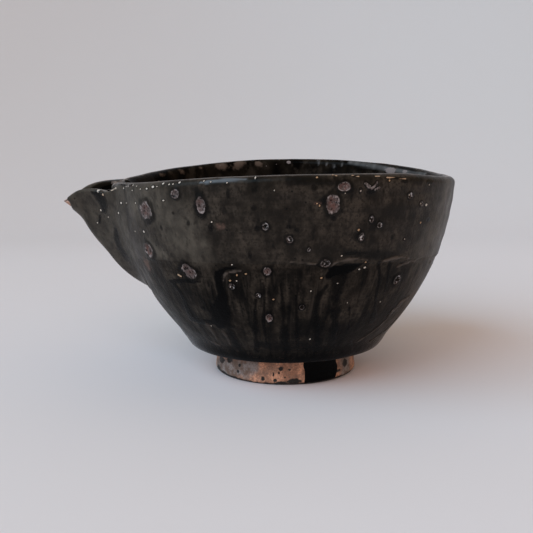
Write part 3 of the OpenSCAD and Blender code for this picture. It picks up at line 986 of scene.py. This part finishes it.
def glaze_marks(look, rough):
    """Blister scars with a pale ragged rim in a black halo, and specks. Returns the roughness with them."""
    ragged = look.ragged("scar", 0.6, 1.5, detail=4)
    tone = look.field("tone")
    body = look.spread(ragged, 1.35, 1.2)
    inner = look.spread(ragged, 1.18, 0.9)
    heart = look.both(look.spread(tone, 0.4, 0.9), inner)
    grain = look.cloud(0.8, detail=4, shift=3.0)
    pale = look.mix(look.spread(tone, 0.25, 0.5), RING_PALE, SCAR_PALE)
    pale = look.mix(look.patches(0.44, 0.6, 2.2, detail=4, shift=15.0), pale, SCAR_BROWN)
    flesh = look.mix(look.spread(tone, 0.3, 0.5), DARK, SCAR_BROWN)
    flesh = look.mix(look.both(heart, look.patches(0.35, 0.6, 1.6, shift=8.0)), flesh, SCAR_RED)
    flesh = look.mix(look.spread(look.add(grain, inner, -0.2), 0.32, 0.56), flesh, pale)
    # Painted glints: small highlights on the scars
    glints = look.patches(0.55, 0.64, 0.9, shift=12.0)
    flesh = look.mix(look.both(glints, look.spread(tone, 0.6, 0.1, 0.08, 1.0)), flesh, GLINT)
    look.over(BLACK, look.spread(ragged, 2.15, 1.65), 0.75)
    look.over(flesh, body)
    look.over(BLACK, look.both(look.patches(0.54, 0.63, 0.9, detail=4, shift=6.0), body), 0.9)
    dot = look.ragged("speck", 0.7, 0.5, shift=1.0)
    look.over(BLACK, look.spread(dot, 2.6, 1.7), 0.85)
    look.over(look.mix(look.field("warm"), CREAM, TAN), look.spread(dot, 1.45, 1.15))
    return look.mix(body, rough, SCAR_ROUGH)


def outer_glaze(name, specular):
    look = Look(name, IOR=1.5, Specular_IOR_Level=specular)
    below, shade = look.field("below"), look.field("shade")
    clouds = look.add(look.cloud(9, 1.2), look.cloud(2.4, 1.6, 5), 0.6)
    look.colour = look.mix(look.spread(clouds, 0.6, 1.02), DARK, BROWN)
    grain = look.patches(0.48, 0.64, 0.9, 1.2, 4, shift=2.0)
    look.over(DARK, grain, 0.72)
    rings = look.patches(0.45, 0.65, 34, 0.04, 3, shift=4.0)
    look.over(DARK, rings, 0.4)
    smudges = look.patches(0.57, 0.7, 3.2, 1.8, 4, shift=9.0)
    look.over(BLACK, smudges, 0.75)
    # Painted sheen over the lighter places of the wall and the spout
    painted_sheen = look.mix(look.patches(0.35, 0.65, 4.0, 1.3, 5, shift=6.0), PAINTED_SHEEN_DARK, PAINTED_SHEEN)
    look.over(painted_sheen, look.spread(shade, 0.0, -1.0, 0.0, 0.68))
    mottle = look.patches(0.5, 0.68, 2.4, 1.3, 5, shift=14.0)
    look.over(DARK, mottle, 0.55)
    streaks = look.patches(0.42, 0.62, 3.0, 6, 5, flow=True)
    look.over(BLACK, look.both(streaks, below), 0.78)
    rust = look.patches(0.54, 0.74, 2.6, 7, 4, shift=7.0, flow=True)
    look.over(RUST, look.both(rust, below), 0.4)
    # Painted shade over the darker places
    look.over(BLACK, look.spread(shade, 0.0, 1.0, 0.0, 0.75))
    look.over(BLACK, look.field("pool"))
    look.over(BLACK, look.field("roll"))
    # Pale break lines, partly painted highlights
    look.over(BREAK_AND_HIGHLIGHT, look.field("ridge"), 0.8)
    look.over(BLACK, look.dots(5.5, 0.42), 0.9)
    # Painted reflection of the window on the lip
    look.over(PAINTED_REFLECTION_BLUE, look.field("painted_reflection"), 0.7)
    faded = look.ragged("faded", 2.4, 1.6, detail=5, shift=3.0)
    look.over(SALMON, look.spread(faded, 2.5, 1.4), 0.6)
    # Thin glaze at the lip's crest, partly a painted highlight along it
    lip = look.ragged("lip", 0.5, 2.0)
    look.over(THIN_GLAZE_AND_HIGHLIGHT, look.both(look.spread(lip, 0.55, 0.25), look.spread(lip, 0.1, -0.3, 0.28, 0.7)))
    pooled = look.math("MAXIMUM", look.field("pool"), look.field("roll"))
    rough = glaze_marks(look, look.mix(pooled, look.wander(0.3, 0.42, 5, 1.5), POOL_ROUGH))
    return look.finish(rough, look.add(look.cloud(0.7, detail=4), look.cloud(2.5, 2), 1.5), 0.09)


def inner_glaze():
    look = Look("inside_glaze", IOR=1.5, Specular_IOR_Level=INNER_SHINE)
    look.colour = look.mix(look.patches(0.35, 0.65, 7, 1.4), BLACK, DARK)
    blotch = look.patches(0.5, 0.68, 4.5, 1.3, 4, shift=2.0)
    look.over(BROWN, look.both(blotch, look.spread(look.field("lip"), 14, 2)), 0.4)
    brown = look.ragged("brown", 2.6, 3.0, detail=5, shift=5.0)
    look.over(INSIDE_RUST, look.spread(brown, 2.4, 1.5), 0.85)
    # Painted reflections of the window
    look.over(GLEAM, look.field("gleam"), 0.75)
    # Thin glaze at the lip's crest, partly a painted highlight along it
    lip = look.ragged("lip", 0.5, 2.0)
    look.over(THIN_GLAZE_AND_HIGHLIGHT, look.spread(lip, 0.4, 0.15), 0.5)
    look.over(SCAR_PALE, look.dots(4.2, 0.3), 0.5)
    mark = look.ragged("mark", 0.8, 0.9, detail=4)
    look.over(SCAR_PALE, look.spread(mark, 1.6, 1.2), 0.8)
    # Painted shade: black in the spout's hollow and in the gap under it
    look.over(BLACK, look.field("deep"))
    height = look.add(look.cloud(0.9, detail=4), look.cloud(3.0), 2.0)
    return look.finish(look.wander(0.12, 0.24, 5, 1.5), height, 0.06)


CLAY_ORANGE = (0.61, 0.32, 0.20)
CLAY_BROWN = (0.31, 0.16, 0.10)
CLAY_PINK = (0.60, 0.38, 0.30)
CLAY_GREY = (0.25, 0.222, 0.212)
CLAY_DULL = (0.13, 0.088, 0.068)
BURNT_AND_SHADE = (0.012, 0.010, 0.009)


def foot_clay():
    look = Look("foot_clay", IOR=1.45)
    look.colour = look.mix(look.patches(0.4, 0.6, 3.4, 1.0, 5), CLAY_BROWN, CLAY_ORANGE)
    ash = look.ragged("ash", 1.3, 3.2, detail=5)
    grey = look.mix(look.patches(0.4, 0.62, 2.6, detail=5, shift=5.0), CLAY_GREY, CLAY_DULL)
    look.over(grey, look.spread(ash, 2.2, 1.2))
    grain = look.patches(0.42, 0.62, 0.6, detail=4)
    look.over(CLAY_DULL, grain, 0.5)
    smoke = look.patches(0.48, 0.66, 5.0, detail=5, shift=2.0)
    look.over(CLAY_DULL, smoke, 0.5)
    stain = look.ragged("stain", 1.6, 1.6, detail=5)
    look.over(BURNT_AND_SHADE, look.spread(stain, 2.0, 1.6))
    # A dark line along the foot's bottom edge, partly burnt clay and partly a painted contact shadow, and a
    # darker band at its top under the glaze roll
    edge = look.ragged("edge", 2.0, 1.8, detail=4)
    look.over(BURNT_AND_SHADE, look.spread(edge, 2.3, 1.5))
    look.over(BURNT_AND_SHADE, look.dots(2.6, 0.26), 0.85)
    height = look.add(look.cloud(0.6, detail=5), look.cloud(0.25), 0.5)
    return look.finish(look.wander(0.55, 0.8, 2.0), height, 0.16)


def bare_clay():
    look = Look("bare_clay", IOR=1.45)
    look.colour = look.mix(look.patches(0.35, 0.65, 3.0, 1.0, 4), CLAY_BROWN, CLAY_PINK)
    look.over(CLAY_GREY, look.patches(0.55, 0.7, 1.2, detail=4, shift=4.0), 0.7)
    return look.finish(look.wander(0.55, 0.8, 2.0), look.cloud(0.5, detail=5), 0.1)


# The paper is darker and warmer to the left, and darker on the upright wall than on the floor: painted
# shade where less light falls
FLOOR_LEFT = (0.67, 0.64, 0.645)
FLOOR_RIGHT = (0.78, 0.78, 0.82)
WALL_LEFT = (0.50, 0.475, 0.467)
WALL_RIGHT = (0.60, 0.635, 0.665)


def paper():
    look = Look("paper", Specular_IOR_Level=0.2)
    place = look.node("ShaderNodeSeparateXYZ", {0: look.mm})
    side = look.spread(look.add(place["X"], look.cloud(260, 1.0, 2), 60), -420, 420)
    floor, wall = look.mix(side, FLOOR_LEFT, FLOOR_RIGHT), look.mix(side, WALL_LEFT, WALL_RIGHT)
    look.colour = look.mix(look.spread(place["Y"], 250, 800), floor, wall)
    return look.finish(look.wander(0.85, 0.95, 40), look.cloud(3, detail=4), 0.02)


# Pieces
def build_bowl():
    a, clay, z = clay_grid()
    normals = grid_normals(clay, True)
    outside, inside = slice(0, CREST_ROW + 1), slice(CREST_ROW, None)
    thickness, fields = wall_details(a[outside], clay[outside], normals[outside], z[outside])
    outer = clay[outside] + normals[outside] * thickness[..., None]
    inner_t = COAT_IN + waves(clay[inside], INSIDE_WAVES)
    inner_t += (thickness[-1] - inner_t[0]) * bump_at(np.arange(len(inner_t)) / 4, 1)[:, None]
    inner = clay[inside] + normals[inside] * inner_t[..., None]
    upper, lower = outer_glaze("upper_glaze", UPPER_SHINE), outer_glaze("lower_glaze", LOWER_SHINE)
    low, up = slice(0, RIDGE_ROW + 1), slice(RIDGE_ROW, CREST_ROW + 1)
    back = clay - COAT_SUNK * normals
    coats = (("lower_coat", low, lower, "lower_glaze"), ("upper_coat", up, upper, "upper_glaze"))
    for name, rows, glaze, node in coats:
        part = {field: values[rows] for field, values in fields.items()}
        make_shell(name, outer[rows], back[rows], True, part, glaze, [node])
    part = inside_fields(a[inside], inner, z[CREST_ROW] - z[inside])
    make_shell("inside_coat", inner, back[inside], True, part, inner_glaze(),
               ["inner_glaze"], capped=True)
    build_clay(a, clay)
    return upper, lower


def inside_fields(a, inner, lip):
    surface = Surface(inner, grid_normals(inner, True))
    gleam = within(surface.strokes(INSIDE_GLEAMS), 1.4, 1.0)
    gleam = gleam * (0.85 + 0.3 * noise(at(a, RIM_R, 0 * a), 1.6))
    return {
        # deep: painted shade in the gap under the spout
        "lip": lip + 10 * in_gap(a), "deep": in_gap(a), "gleam": gleam, "mark": surface.spots(INSIDE_MARKS),
        "brown": surface.spots([(x, y, size, size) for x, y, size in INSIDE_BROWN]),
    }


def build_clay(a, clay):
    """The thrown bowl under its coats, with the flat seat of the foot."""
    under = np.arange(SEAT_ROWS)[:, None] / SEAT_ROWS
    seat_r = lerp(FOOT_R - SEAT_IN, wall_r(TURN_Z), under)
    seat_z = lerp(SEAT_Z, TURN_Z, ease((under - SEAT_FLAT) / (1 - SEAT_FLAT)))
    seat = at(a[:SEAT_ROWS], seat_r, seat_z)
    around = np.concatenate([seat, clay[::CLAY_STEP]])
    numbers = row_numbers(around)
    middles = [[0, 0, SEAT_Z], [0, 0, FLOOR_Z]]
    points = np.concatenate([around.reshape(-1, 3), middles])
    normals = np.concatenate([grid_normals(around, True).reshape(-1, 3), [[0, 0, -1], [0, 0, 1]]])
    faces = [
        grid_faces(numbers, True),
        fan_faces(numbers[0, ::-1], numbers.size),
        fan_faces(numbers[-1], numbers.size + 1),
    ]
    make_piece("bowl_clay", points, faces, normals, {}, bare_clay(), ["bowl_wall"])


def wall_normals(angle, z):
    slope = (CROWN_Z - z) / np.sqrt(BELLY_R ** 2 - (z - CROWN_Z) ** 2)
    normals = at(angle, 1.0, -slope)
    return normals / np.linalg.norm(normals, axis=-1, keepdims=True)


def edge_sag(s):
    """How far the spout's edge hangs below its even curve, by share of its half width."""
    far = ease((-s - 0.1) / 0.15) * (FAR_SAG + FAR_DIP * bump_at(s + 0.2, 0.1))
    near = NEAR_SAG * ease((s - 0.15) / 0.1) + NEAR_DIP * ease((s - 0.4) / 0.26) * within(s, 0.95, 0.25)
    return far + near + TIP_SAG * bump_at(np.abs(s) - 0.14, 0.1)


def build_spout(glaze):
    across = np.linspace(-SPOUT_FADE, SPOUT_FADE, SPOUT_COLS)
    s, f = np.meshgrid(across, np.linspace(-ROOT_FADE, 1, SPOUT_ROWS))
    beyond = np.maximum(ease((np.abs(s) - 1) / (SPOUT_FADE - 1)), ease(-f / ROOT_FADE))
    dents = sum(depth * bump_at(f - place, width) for place, width, depth in KEEL_DENTS.values())
    outer = spout_outside(s, f, lerp(SPOUT_SEAT, -ROOT_SUNK, beyond) - dents * beak(s))
    down = np.linspace(1, SPOUT_TURN_IN, SPOUT_IN_ROWS)[:, None]
    inner = spout_inside(s[0] + 0 * down, down + 0 * s[0], SKIN_SEAT)
    climb = ease((np.abs(s) - 0.84) / 0.14)
    angle = spout_place(s, f)[0]
    to_rim = crest_z(angle) - RIM_JOIN - outer[-1:, :, 2]
    lift = (climb * to_rim - edge_sag(s) * (1 - climb)) * np.clip(f, 0, 1) ** 4
    outer[..., 2] += lift
    near = ease((s[0] - 0.2) / 0.2) * within(s[0], 0.8, 0.14)
    inner[..., 2] += (lift[-1] - INNER_FALL * near) * ((down - SPOUT_TURN_IN) / (1 - SPOUT_TURN_IN))
    turn = np.radians(np.arange(1, EDGE_ROWS) * 180 / EDGE_ROWS)[:, None, None]
    middle, half = (outer[-1] + inner[0]) / 2, (outer[-1] - inner[0]) / 2
    crown = (EDGE_CROWN * (1 - 0.5 * near))[:, None] * np.array([0, 0, 1])
    skin = np.concatenate([outer, middle + half * np.cos(turn) + np.sin(turn) * crown, inner])
    normals = grid_normals(skin, False)
    blend = ease((np.abs(s) - 0.95) / 0.35)[..., None]
    normals[:SPOUT_ROWS] = lerp(normals[:SPOUT_ROWS], wall_normals(angle, outer[..., 2]), blend)
    normals /= np.linalg.norm(normals, axis=-1, keepdims=True)
    build_spout_coat(glaze, s, skin, normals)
    build_spout_clay(s, skin)
    build_channel()


def build_spout_coat(glaze, s, skin, normals):
    """The coat on the outside of the spout, over its edge and a little way down its inside."""
    rows = len(skin)
    s = np.broadcast_to(s[0], (rows, SPOUT_COLS))
    tip = skin[SPOUT_ROWS - 1, SPOUT_COLS // 2]
    from_tip = np.linalg.norm(skin - tip, axis=-1) + 0.7 * noise(skin, 2.0)
    bare = within(from_tip, TIP_BARE, 0.8)
    thickness = lerp(COAT + waves(skin, SPOUT_WAVES), -TIP_SUNK, bare)
    front = skin + normals * thickness[..., None]
    surface = Surface(front, normals)
    specks = [(surface.pixel_spot(*speck[:4]), speck[4]) for speck in SPOUT_SPECKS]
    specks.append((surface.stroke(SPOUT_EDGE_LINE), EDGE_WARMTH))
    speck, warm = nearest_marks(s.shape, specks)
    shade_and_smudges = surface.strokes(SPOUT_SHADE_AND_SMUDGES) + 0.4 * noise(front, 5)
    over = (np.arange(rows) - SPOUT_ROWS + 1)[:, None]
    line = np.where(s > 0, NEAR_LINE_ROW, FAR_LINE_ROW)
    edge = np.maximum(ease((s - 0.45) / 0.1), ease((-s - 0.2) / 0.1))
    edge = edge * within(np.abs(s), 1.0, 0.1) * bump_at(over - line, 0.9)
    # Painted shade: black down the inside of the spout's edge
    hollow = ease((over - line - 0.8) / 0.8) * ease((np.abs(s) - 0.12) / 0.1)
    lip = np.minimum(3 - 3.4 * edge, np.maximum(0, 0.8 * (from_tip - TIP_BARE))) + 8 * hollow
    fields = plain_fields(
        s.shape, speck=speck, warm=warm,
        pool=np.maximum(within(shade_and_smudges, 2.2, 1.6), hollow),
        # Painted sheen over the spout
        shade=-0.6 * ease((over + 90) / 40),
        lip=np.minimum(lip, worn_lip(surface.spots(LIP_WORN))),
    )
    back = skin - COAT_SUNK * normals
    make_shell("spout_coat", front, back, False, fields, glaze, ["spout_glaze"])


def build_spout_clay(s, skin):
    """The spout's clay, which shows only where the coat stops at the tip."""
    f = np.linspace(SPOUT_TURN_IN, 0, CLAY_IN_ROWS)[1:, None] + 0 * s[0]
    inner = spout_inside(s[0] + 0 * f, f, CLAY_SEAT)
    around = np.concatenate([skin[::2], inner])
    numbers = row_numbers(around)
    faces = [
        grid_faces(numbers, False),
        strip_faces(numbers[-1], numbers[0], False),
        numbers[None, :, 0],
        numbers[None, ::-1, -1],
    ]
    make_piece("spout_clay", around, faces, grid_normals(around, False), {}, bare_clay(),
               ["spout", "spout_lute"])


def build_channel():
    """The coat in the spout's channel, from below the sill to the tip."""
    across = np.linspace(-CHANNEL_EDGE, CHANNEL_EDGE, CHANNEL_COLS) * CHANNEL_SHARE
    s, f = np.meshgrid(across, np.linspace(CHANNEL_FROM, CHANNEL_TO, CHANNEL_ROWS))
    skin = spout_inside(s, f, SKIN_SEAT)[:, ::-1]
    normals = grid_normals(skin, False)
    front, back = skin + COAT_IN * normals, skin - COAT_SUNK * normals
    # Painted shade: the channel's coat is black all over
    plain = {"lip": 30, "deep": 1, "mark": FAR, "brown": FAR}
    fields = {name: np.full(s.shape, float(value)) for name, value in plain.items()}
    make_shell("channel_coat", front, back, False, fields, inner_glaze(), ["channel_glaze"])


def foot_profile():
    """Radius and height of the foot ring: up the outside, over the top and down the inside."""
    turn = np.radians(np.linspace(0, 90, FOOT_EDGE_ROWS))
    inner = FOOT_R - FOOT_W
    sine, cosine = FOOT_EDGE * np.sin(turn), FOOT_EDGE * np.cos(turn)
    r = [FOOT_R - FOOT_EDGE + sine, np.linspace(FOOT_R, FOOT_R - FOOT_DRAW, FOOT_SIDE_ROWS)[1:],
         np.linspace(inner - FOOT_DRAW, inner, FOOT_HOLLOW_ROWS), inner + FOOT_EDGE - cosine[1:]]
    z = [FOOT_EDGE - cosine, np.linspace(FOOT_EDGE, SEAT_Z, FOOT_SIDE_ROWS)[1:],
         np.linspace(SEAT_Z, FOOT_EDGE, FOOT_HOLLOW_ROWS), FOOT_EDGE - sine[1:]]
    return np.concatenate(r), np.concatenate(z)


def foot_edges(points):
    """Distance from the foot's bottom edge and from the roll of glaze over its top."""
    return np.minimum(points[..., 2], 1.4 * np.maximum(0, SEAT_Z - UNDER_ROLL - points[..., 2]))


def build_foot(glaze):
    r, z = foot_profile()
    a = np.arange(FOOT_COLS) * 360 / FOOT_COLS
    points = at(a[None, :], r[:, None], z[:, None] + 0 * a[None, :])
    normals = grid_normals(points, True)
    rough = (waves(points, FOOT_WAVES) - FOOT_SUNK) * ease(z / 2)[:, None]
    points = points + normals * rough[..., None]
    surface = Surface(points, normals)
    ash = surface.strokes(ASH).ravel()
    stain = surface.spots(FOOT_STAINS).ravel()
    rng = np.random.default_rng(9)
    hidden = surface.hidden[surface.points[surface.hidden, 2] > 1]
    for number in rng.choice(hidden, 4):
        ash = np.minimum(ash, surface.spot(number, rng.uniform(10, 22), rng.uniform(6, 12)))
    for number in rng.choice(hidden, 16):
        stain = np.minimum(stain, surface.spot(number, rng.uniform(0.8, 3), rng.uniform(0.8, 2.4)))
    numbers = row_numbers(points)
    faces = [grid_faces(numbers, True), strip_faces(numbers[-1], numbers[0], True)]
    fields = {"ash": ash, "stain": stain, "edge": foot_edges(points)}
    make_piece("foot", points, faces, normals, fields, foot_clay(), ["foot_ring", "foot_lute"])
    build_run(glaze)


def build_run(glaze):
    """The run of glaze over the outside of the foot."""
    r, z = (values[RUN_ROWS] for values in foot_profile())
    share = np.linspace(0, 1, RUN_COLS)[None, :]
    wave = noise(np.stack([0 * z, 0 * z, z], axis=-1), 2.5)
    start = RUN_FROM + 0.8 * wave
    end = RUN_FROM + RUN_TURN - 3 * ease(1 - z / 6) + 1.2 * wave
    a = lerp(start[:, None], end[:, None], share)
    clay = at(a, r[:, None] - RUN_SUNK, z[:, None] + 0 * a)
    normals = grid_normals(clay, False)
    edge = ease(np.minimum(share, 1 - share) / 0.06) * ease((z - z[0]) / 1.2)[:, None]
    front = clay + normals * (RUN_SUNK + COAT * edge + 0.05 * noise(clay, 4))[..., None]
    fields = plain_fields(a.shape, pool=1.0)
    make_shell("foot_run", front, clay, False, fields, glaze, ["foot_glaze_run"])


# The stage
SWEEP_FRONT = -900.0
SWEEP_BACK = 400.0
SWEEP_RADIUS = 400.0
SWEEP_TOP = 1300.0
SWEEP_HALF_W = 1500.0
SWEEP_ROWS = 25


def build_stage():
    turn = np.radians(np.linspace(0, 90, SWEEP_ROWS))
    curve = SWEEP_BACK + SWEEP_RADIUS * np.sin(turn)
    y = np.concatenate([[SWEEP_FRONT], curve, [SWEEP_BACK + SWEEP_RADIUS]])
    z = np.concatenate([[0], SWEEP_RADIUS - SWEEP_RADIUS * np.cos(turn), [SWEEP_TOP]])
    x = np.array([-SWEEP_HALF_W, SWEEP_HALF_W])
    points = np.stack(np.broadcast_arrays(x[None, :], y[:, None], z[:, None]), axis=-1)
    faces = grid_faces(row_numbers(points), False)
    sweep = add_object("sweep", make_mesh("sweep", points, [faces], paper()))


def area_light(name, place, target, size, power, colour, mirrored=True):
    data = bpy.data.lights.new(name, "AREA")
    data.shape = "RECTANGLE"
    data.size, data.size_y = (side * MM for side in size)
    data.energy = power
    data.color = colour
    light = add_object(name, data)
    light.visible_glossy = mirrored
    back = Vector(place) - Vector(target)
    turn = back.to_track_quat("Z", "Y").to_matrix().to_4x4()
    light.matrix_world = Matrix.Translation(np.array(place) * MM) @ turn


ROOM_COLOUR = (1.0, 0.765, 0.546, 1)
ROOM_STRENGTH = 0.46


def build_light():
    area_light("window", place=(-1400, -1000, 1450), target=(100, 100, 0), size=(2400, 1800),
               power=42.0, colour=(0.476, 0.786, 1.0))
    area_light("room", place=(-700, -3350, 2000), target=(0, 0, 50), size=(4000, 2600),
               power=61.5, colour=(1.0, 0.704, 0.69), mirrored=False)
    world = bpy.data.worlds.new("room")
    world.use_nodes = True
    background = world.node_tree.nodes["Background"]
    background.inputs["Color"].default_value = ROOM_COLOUR
    background.inputs["Strength"].default_value = ROOM_STRENGTH
    bpy.context.scene.world = world


def build_camera():
    data = bpy.data.cameras.new("camera")
    data.sensor_width = SENSOR_W
    data.lens = FOCAL_PIXELS * SENSOR_W / PHOTO_SIZE
    data.clip_start, data.clip_end = 0.01, 20
    camera = add_object("camera", data)
    camera.matrix_world = camera_matrix()
    bpy.context.scene.camera = camera


build_camera()
upper_glaze, lower_glaze = build_bowl()
build_spout(upper_glaze)
build_foot(lower_glaze)
build_stage()
build_light()
bpy.context.scene.view_settings.view_transform = "Standard"
